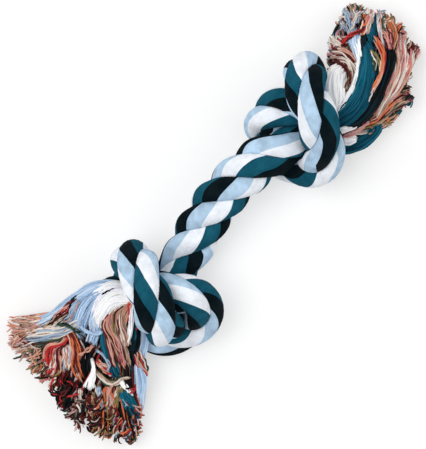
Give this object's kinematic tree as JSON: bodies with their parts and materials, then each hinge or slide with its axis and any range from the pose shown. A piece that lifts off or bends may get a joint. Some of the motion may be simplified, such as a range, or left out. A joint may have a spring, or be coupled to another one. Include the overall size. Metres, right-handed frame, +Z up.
{
  "type": "rope dog toy",
  "caption": "Laid cotton rope tug toy, tied in an overhand knot near each end, with a loose yarn tassel past each knot.",
  "frame": {"origin": "on the floor, under the middle of the toy's outline", "axes": "+X along the rope from the left knot to the right one, +Y across it, +Z up from the floor that the toy lies on"},
  "size_m": [0.2934, 0.0956, 0.0676],
  "materials": {
    "strand_cover": "soft matt cotton, four coloured bands of yarn",
    "light_blue_yarn": "soft matt cotton",
    "white_yarn": "soft matt cotton",
    "teal_yarn": "soft matt cotton",
    "black_yarn": "soft matt cotton",
    "core_yarn": "soft matt cotton, mixed colours"
  },
  "bodies": {
    "left_knot": {"left_knot_strand_1": "strand_cover", "left_knot_strand_2": "strand_cover", "left_knot_strand_3": "strand_cover", "shaft_strand_1": "strand_cover", "shaft_strand_2": "strand_cover", "shaft_strand_3": "strand_cover"},
    "right_knot": {"right_knot_strand_1": "strand_cover", "right_knot_strand_2": "strand_cover", "right_knot_strand_3": "strand_cover"},
    "left_tassel": {"left_tassel_light_blue_1": "light_blue_yarn", "left_tassel_white_1": "white_yarn", "left_tassel_teal_1": "teal_yarn", "left_tassel_black_1": "black_yarn", "left_tassel_light_blue_2": "light_blue_yarn", "left_tassel_white_2": "white_yarn", "left_tassel_teal_2": "teal_yarn", "left_tassel_black_2": "black_yarn", "left_tassel_light_blue_3": "light_blue_yarn", "left_tassel_white_3": "white_yarn", "left_tassel_teal_3": "teal_yarn", "left_tassel_black_3": "black_yarn", "left_tassel_core_1": "core_yarn", "left_tassel_core_2": "core_yarn", "left_tassel_core_3": "core_yarn"},
    "right_tassel": {"right_tassel_light_blue_1": "light_blue_yarn", "right_tassel_white_1": "white_yarn", "right_tassel_teal_1": "teal_yarn", "right_tassel_black_1": "black_yarn", "right_tassel_light_blue_2": "light_blue_yarn", "right_tassel_white_2": "white_yarn", "right_tassel_teal_2": "teal_yarn", "right_tassel_black_2": "black_yarn", "right_tassel_light_blue_3": "light_blue_yarn", "right_tassel_white_3": "white_yarn", "right_tassel_teal_3": "teal_yarn", "right_tassel_black_3": "black_yarn", "right_tassel_core_1": "core_yarn", "right_tassel_core_2": "core_yarn", "right_tassel_core_3": "core_yarn"}
  },
  "joints": [
    {"name": "rope_bend", "type": "hinge", "parent": "left_knot", "child": "right_knot", "pos_m": [0.0075, 0.00385, 0.0253], "axis": [0, 0, 1], "range_deg": [-30, 30], "stiffness_Nm_per_rad": 0.3, "deforming": ["shaft_strand_1", "shaft_strand_2", "shaft_strand_3"]},
    {"name": "left_tassel_swing", "type": "hinge", "parent": "left_knot", "child": "left_tassel", "pos_m": [-0.08, 0.0055, 0.02612], "axis": [0, 0, 1], "range_deg": [-25, 25], "deforming": ["left_tassel_light_blue_1", "left_tassel_white_1", "left_tassel_teal_1", "left_tassel_black_1", "left_tassel_light_blue_2", "left_tassel_white_2", "left_tassel_teal_2", "left_tassel_black_2", "left_tassel_light_blue_3", "left_tassel_white_3", "left_tassel_teal_3", "left_tassel_black_3", "left_tassel_core_1", "left_tassel_core_2", "left_tassel_core_3"]},
    {"name": "right_tassel_swing", "type": "hinge", "parent": "right_knot", "child": "right_tassel", "pos_m": [0.08693, -0.02255, 0.02888], "axis": [0, 0, 1], "range_deg": [-25, 25], "deforming": ["right_tassel_light_blue_1", "right_tassel_white_1", "right_tassel_teal_1", "right_tassel_black_1", "right_tassel_light_blue_2", "right_tassel_white_2", "right_tassel_teal_2", "right_tassel_black_2", "right_tassel_light_blue_3", "right_tassel_white_3", "right_tassel_teal_3", "right_tassel_black_3", "right_tassel_core_1", "right_tassel_core_2", "right_tassel_core_3"]}
  ]
}
